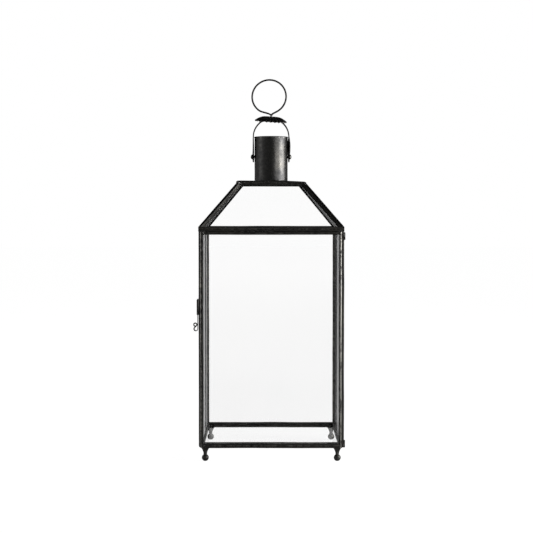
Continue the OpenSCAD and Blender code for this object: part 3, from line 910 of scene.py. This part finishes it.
def make_bail(metal):
    """A flat strip bent into an arch, with legs a little twisted, as a hand-bent strip is."""
    low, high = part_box("bail")
    half, outer = high.y, high.x
    middle = outer - BAIL_THICK / 2
    arch_z = high.z - outer
    leg_z = [low.z + share * half for share in (0.0, 0.04, 0.12, 0.25, 0.42, 0.62, 0.82)]
    steps = 24
    leg_z += [low.z + half + (arch_z - low.z - half) * k / steps for k in range(steps)]
    pivot = sum(corner.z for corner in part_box("rivet_left")) / 2

    def leg_twist(z, most):
        climb = max(0.0, min(1.0, (z - pivot) / (arch_z - pivot)))
        return BAIL_TWIST_LOW * (1 - climb) + most * math.sin(math.pi * climb)

    stations = [(Vector((-middle, 0, z)), -X, leg_twist(z, BAIL_TWIST_LEFT)) for z in leg_z]
    turns = 48
    for k in range(turns + 1):
        a = math.pi - math.pi * k / turns
        way = Vector((math.cos(a), 0, math.sin(a)))
        stations.append((way * middle + Z * arch_z, way, 0.0))
    stations += [(Vector((middle, 0, z)), X, leg_twist(z, BAIL_TWIST_RIGHT)) for z in reversed(leg_z)]
    thick = BAIL_THICK / 2
    outline = rounded([(x, y, 0.3 * MM) for x, y in ((-1, -thick), (-1, thick), (1, thick), (1, -thick))], 3)
    rings = []
    for i, (point, way, twist) in enumerate(stations):
        width = bail_half_width(point.z - low.z, half)
        sway = 0.08 * MM * wobble(2, i * 0.2)
        turn = Matrix.Rotation(math.radians(twist), 3, way.cross(Y))
        rings.append([point + turn @ (Y * x * width + way * (y + sway)) for x, y, _ in outline])
    points, faces, uvs = loft(rings)
    add_piece("bail_strip", points, faces, "bail_arch", metal, uvs, 0.12, sharp=40,
              nodes=["bail"])


def shield_height(r, a, reach):
    """Height above the hub of the fluted dome."""
    hump = 8 * MM
    rise = 0.8 * MM * math.sin(math.pi / 2 * min(r / hump, 1))
    drop = 5.6 * MM * (max(r - hump, 0) / (reach - hump)) ** 1.7
    share = max(0.0, (r - 4 * MM) / (reach - 4 * MM))
    ridge = abs(math.sin(FLUTES * a / 2)) ** 0.8 - 0.55
    return rise - drop + 1.5 * MM * share ** 1.1 * ridge


def make_shield(metal):
    """A stamped flower disc, as a thin fluted sheet on the tilt that its loose hole allows."""
    low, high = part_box("heat_shield")
    reach = (high.x - low.x) / 2 - 0.1 * MM
    sheet, hole = 0.6 * MM, 1.35 * MM
    sides, bands = FLUTES * 14, 26
    about_x, about_y = [Matrix.Rotation(math.radians(a), 4, axis) for a, axis in zip(SHIELD_LEAN, "XY")]
    move = Matrix.Translation(Z * (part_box("bail")[1].z + SHIELD_HUB)) @ about_y @ about_x
    rings = []
    for k in range(sides):
        a = 2 * math.pi * k / sides
        scallop = 1 - 0.035 * (1 - abs(math.sin(FLUTES * a / 2)) ** 0.7)
        steps = [hole + (reach * scallop - hole) * i / bands for i in range(bands + 1)]
        both = [(r, 0) for r in steps] + [(r, sheet) for r in reversed(steps)]
        rings.append([Vector((r * math.cos(a), r * math.sin(a), shield_height(r, a, reach) - down))
                      for r, down in both])
    points, faces, _ = loft(rings, closed_path=True)
    wear = [0.3 + 0.7 * (math.hypot(p.x, p.y) / reach) ** 3 for p in points]
    uvs = [(math.atan2(p.y, p.x) * reach, math.hypot(p.x, p.y)) for p in points]
    points = [move @ p for p in points]
    add_piece("flower_disc", points, faces, "shield", metal, uvs, wear, sharp=50,
              nodes=["heat_shield"])


RING_WIRE = 1.0 * MM
RING_OPEN = 30.0
RING_LEAN = -2.4 * MM
RING_NECK = 4.9 * MM


def ring_path(low, high, neck):
    """The stem, one leg of the neck, the loop from one side of the neck to the other, and the end."""
    radius = (high.x - low.x) / 2 - 1.4 * RING_WIRE
    centre = Vector((RING_LEAN, 0, high.z - 2.3 * RING_WIRE - radius))
    path = [Z * (low.z + 0.6 * MM + (neck - low.z - 1.2 * MM) * k / 10) for k in range(11)]
    begin, finish, steps = 270 - RING_OPEN, RING_OPEN - 90, 96
    leg_end = centre + Vector((math.cos(math.radians(begin)), 0, math.sin(math.radians(begin)))) * radius
    path += [(Z * neck).lerp(leg_end, k / 7) for k in range(1, 7)]
    for k in range(steps + 1):
        a = math.radians(begin + (finish - begin) * k / steps)
        out = radius * (1 + 0.012 * math.sin(2 * a + 0.6))
        path.append(centre + Vector((math.cos(a), 0, math.sin(a))) * out)
    last = path[-1].copy()
    end = Vector((0.9 * RING_WIRE, -1.5 * RING_WIRE, neck))
    return smoothed(path + [last.lerp(end, k / 8) for k in range(1, 9)], 2)


def make_ring(metal):
    """One wire: a stem through the bail, a round loop, and the end wrapped once around the neck."""
    low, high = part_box("finger_ring")
    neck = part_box("bail")[1].z + RING_NECK
    path = ring_path(low, high, neck)
    points, faces, uvs = tube(path, lambda t: RING_WIRE * (0.98 if t < 0.1 else 1.06), 18)
    add_piece("ring_wire", points, faces, "ring", metal, uvs, 0.6, sharp=60,
              nodes=["finger_ring"])
    wrap, around = [], 1.55 * RING_WIRE
    for k in range(31):
        a = math.radians(-40 - 430 * k / 30)
        wrap.append(Vector((around * math.cos(a), around * math.sin(a), neck - 0.2 * MM - 0.9 * MM * k / 30)))
    points, faces, uvs = tube(wrap, 0.62 * RING_WIRE, 12)
    add_piece("ring_wrap", points, faces, "ring", metal, uvs, 0.5, sharp=60)
    head = [(r * MM, z * MM) for r, z in ((0, 0), (1.6, 0), (2.0, 0.4), (2.0, 1.0), (1.6, 1.4), (0, 1.4))]
    points, faces = lathe(head, 32, 0.04, 5)
    add_piece("ring_stem_head", [p + Z * low.z for p in points], faces, "ring", metal, sharp=40)


def smoothed(path, times):
    """Rounds the corners of a path by averaging, with its ends kept."""
    for _ in range(times):
        middle = [(a + b * 2 + c) / 4 for a, b, c in zip(path, path[1:], path[2:])]
        path = [path[0]] + middle + [path[-1]]
    return path


# ------------------------------------ hinges and latch

def rolled_sheet(path, thickness, low, high):
    """A sheet on edge that follows a path in plan, from one height to another, with soft edges."""
    rings = []
    for i, point in enumerate(path):
        a, b = path[max(i - 1, 0)], path[min(i + 1, len(path) - 1)]
        across = Z.cross((b - a).normalized())
        t, soft = thickness / 2, 0.15 * MM
        outline = [(-t, low + soft), (-t, high - soft), (-t + soft, high), (t - soft, high), (t, high - soft),
                   (t, low + soft), (t - soft, low), (-t + soft, low)]
        rings.append([Vector((point.x, point.y, 0)) + across * x + Z * z for x, z in outline])
    return loft(rings)


def arc_path(centre, radius, start, stop, steps):
    turns = [math.radians(start + (stop - start) * k / steps) for k in range(steps + 1)]
    return [Vector((centre.x + radius * math.cos(a), centre.y + radius * math.sin(a), 0)) for a in turns]


HINGE_LEAF = 0.6 * MM
KNUCKLE = 1.3 * MM


def make_hinge_half(node, body, sign, axis, metal):
    """A leaf that runs into a rolled knuckle. sign is 1 for the half that comes from the back."""
    low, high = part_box(node)
    leaf_x = high.x - KNUCKLE + HINGE_LEAF / 2 - 0.2 * MM
    start = Vector((leaf_x, high.y if sign > 0 else low.y, 0))
    arc = arc_path(axis, KNUCKLE - HINGE_LEAF / 2, sign * 62, -sign * 250, 26)
    path = [start.lerp(arc[0], k / 6) for k in range(6)] + arc
    points, faces, uvs = rolled_sheet(path, HINGE_LEAF, low.z, high.z)
    add_piece(f"{node}_rolled", points, faces, body, metal, uvs, 0.6, sharp=45, nodes=[node])


def make_hinges(metal):
    """Knuckles rolled from the leaves that are soldered to the post and the stile, and their pins."""
    axis = sum(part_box("hinge_pin_bottom"), Vector()) / 2
    shank, head = 0.6 * MM, 1.0 * MM
    for level in ("bottom", "top"):
        make_hinge_half(f"hinge_body_{level}", "lantern_body", 1, axis, metal)
        make_hinge_half(f"hinge_door_{level}", "door", -1, axis, metal)
        node = f"hinge_pin_{level}"
        low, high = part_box(node)
        length = high.z - low.z
        profile = [(0, 0), (head * 0.7, 0.0), (head, 0.2 * MM), (head, 0.42 * MM), (shank, 0.5 * MM),
                   (shank, length - 0.2 * MM), (shank * 0.6, length), (0, length)]
        points, faces = lathe(profile, 28, 0.02, 1)
        if level == "top":
            points = [Vector((p.x, p.y, length - p.z)) for p in points]
        points = [p + Vector((axis.x, axis.y, low.z)) for p in points]
        add_piece(f"{node}_wire", points, faces, "lantern_body", metal, sharp=40, nodes=[node])


def curl_path(wire_low, wire_high, wire):
    """The latch wire from its head down and out into two curls, with its axis at x 0."""
    low_r, high_r, out, turn = 2.2 * MM, 1.8 * MM, 2.9 * MM, math.radians(45)
    start_z = wire_low + wire + low_r
    rise = (low_r + high_r - (out - low_r) * math.cos(turn)) / math.sin(turn)
    top = wire_high - 1.0 * MM
    path = [Vector((0, 0, top - (top - start_z) * k / 30)) for k in range(30)]
    for k in range(37):
        a = math.pi + (math.pi + turn) * k / 36
        path.append(Vector((low_r + low_r * math.cos(a), 0, start_z + low_r * math.sin(a))))
    for k in range(31):
        a = math.pi + turn - (math.pi + turn + math.radians(100)) * k / 30
        path.append(Vector((out + high_r * math.cos(a), 0, start_z + rise + high_r * math.sin(a))))
    return smoothed(path, 1)


def make_latch(metal):
    """A strip rolled into a barrel at the left edge, and a wire with a double curl that turns in it."""
    low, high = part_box("latch_barrel")
    radius, strip = 1.3 * MM, 0.7 * MM
    axis = Vector((low.x + radius, low.y + radius, 0))
    start = Vector((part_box("post_front_left")[0].x - strip / 2, high.y, 0))
    arc = arc_path(axis, radius - strip / 2, 48, -262, 28)
    path = [start.lerp(arc[0], k / 8) for k in range(8)] + arc
    points, faces, uvs = rolled_sheet(path, strip, low.z, high.z)
    add_piece("latch_strip", points, faces, "lantern_body", metal, uvs, 0.3, sharp=45,
              nodes=["latch_barrel"])

    wire_low, wire_high = [corner.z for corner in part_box("latch_wire")]
    wire, shaft = 0.5 * MM, 0.42
    path = [Vector((axis.x - p.x, axis.y, p.z)) for p in curl_path(wire_low, wire_high, wire)]
    points, faces, uvs = tube(path, lambda t: wire * (1 if t < shaft else min(1 + 6 * (t - shaft), 1.45)), 14)
    add_piece("latch_curl", points, faces, "latch", metal, uvs, 0.1, sharp=60,
              nodes=["latch_wire"])
    knob = [(r * MM, z * MM) for r, z in ((0, 0), (0.95, 0), (1.0, 0.2), (0.85, 0.6), (0.5, 0.85), (0, 0.9))]
    points, faces = lathe(knob, 28, 0.05, 2)
    foot = Vector((axis.x, axis.y, wire_high - 0.9 * MM))
    add_piece("latch_wire_head", [p + foot for p in points], faces, "latch", metal, sharp=40)


# ------------------------------------ glass and floor

def dress_glass():
    plain = make_glass("clear_glass", 0.999, 0.006, 16.0, BANDS_PLAIN)
    special = {"base_pane": make_glass("floor_glass", 0.99, 0.002, 40.0, BANDS_PLAIN, 0.0, 11.0),
               "pane_left": make_glass("left_glass", 0.998, 0.01, 6.0, BANDS_LEFT),
               "pane_right": make_glass("right_glass", 0.998, 0.01, 6.0, BANDS_RIGHT)}
    for name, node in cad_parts.items():
        if "pane" in name:
            node.data.materials.clear()
            node.data.materials.append(special.get(name, plain))


def make_floor():
    mesh = bpy.data.meshes.new("floor")
    corners = [(x * FLOOR_HALF, y * FLOOR_HALF, 0) for x, y in ((-1, -1), (1, -1), (1, 1), (-1, 1))]
    mesh.from_pydata(corners, [], [(0, 1, 2, 3)])
    mesh.materials.append(make_floor_material())
    floor = bpy.data.objects.new("floor", mesh)
    bpy.context.scene.collection.objects.link(floor)


FLOOR_HALF = 12.0


def main():
    bpy.context.scene.view_settings.view_transform = "Standard"
    make_camera()
    make_world()
    make_softbox("key_right", Vector((1.29, -0.18, 0.4)), (0.8, 1.5), 26)
    make_softbox("front_right", Vector((1.0, -0.84, 0.45)), (1.0, 1.1), 5.5)
    make_softbox("fill_left", Vector((-1.6, -0.3, 0.5)), (0.9, 1.4), 2)
    make_floor()

    frame_metal = make_metal("blackened_frame", grey(0.035, 0.0, 0.02), grey(0.08, 0.03, -0.06),
                             grey(0.13, 0.04, -0.14), grey(0.36, 0.03, -0.08), 0.42, 26.0)
    # a darker copy of the frame metal for the hips: painted shade, so that their sides stay dim under the key
    # light
    shaded_hip_metal = make_metal("blackened_hips_shaded", grey(0.007, 0.0, 0.02), grey(0.015, 0.03, -0.06),
                           grey(0.032, 0.04, -0.1), grey(0.3, 0.03, -0.08), 0.4, 30.0, wear=0.45)
    sheet_metal = make_metal("blackened_sheet", grey(0.045, 0.0, 0.08), grey(0.085, 0.02, -0.04),
                             grey(0.13, 0.06, -0.12), grey(0.3, 0.03, -0.06), 0.3, 34.0, bump=0.4)
    hardware = make_metal("blackened_wire", grey(0.035), grey(0.07, 0.02, -0.04), grey(0.12, 0.03, -0.08),
                          grey(0.4, 0.03, -0.08), 0.34, 60.0)
    solder = make_metal("dull_solder", grey(0.05, 0.02, 0.0), grey(0.11, 0.02, -0.03),
                        grey(0.22, 0.02, -0.02), grey(0.42), 0.42, 90.0, bump=0.8)
    black = make_metal("black_sheet", grey(0.016), grey(0.03, 0.02, -0.02), grey(0.055, 0.03, -0.08),
                       grey(0.16, 0.03, -0.06), 0.42, 60.0)

    make_frame_bars(frame_metal)
    make_hips(shaded_hip_metal)
    make_all_solder(solder)
    make_feet(frame_metal)
    radius = make_chimney(sheet_metal)
    make_crown_plate(radius, sheet_metal)
    make_chimney_solder(radius, sheet_metal)
    make_rivets(hardware)
    make_bail(black)
    make_shield(black)
    make_ring(black)
    make_hinges(black)
    make_latch(black)
    dress_glass()


main()
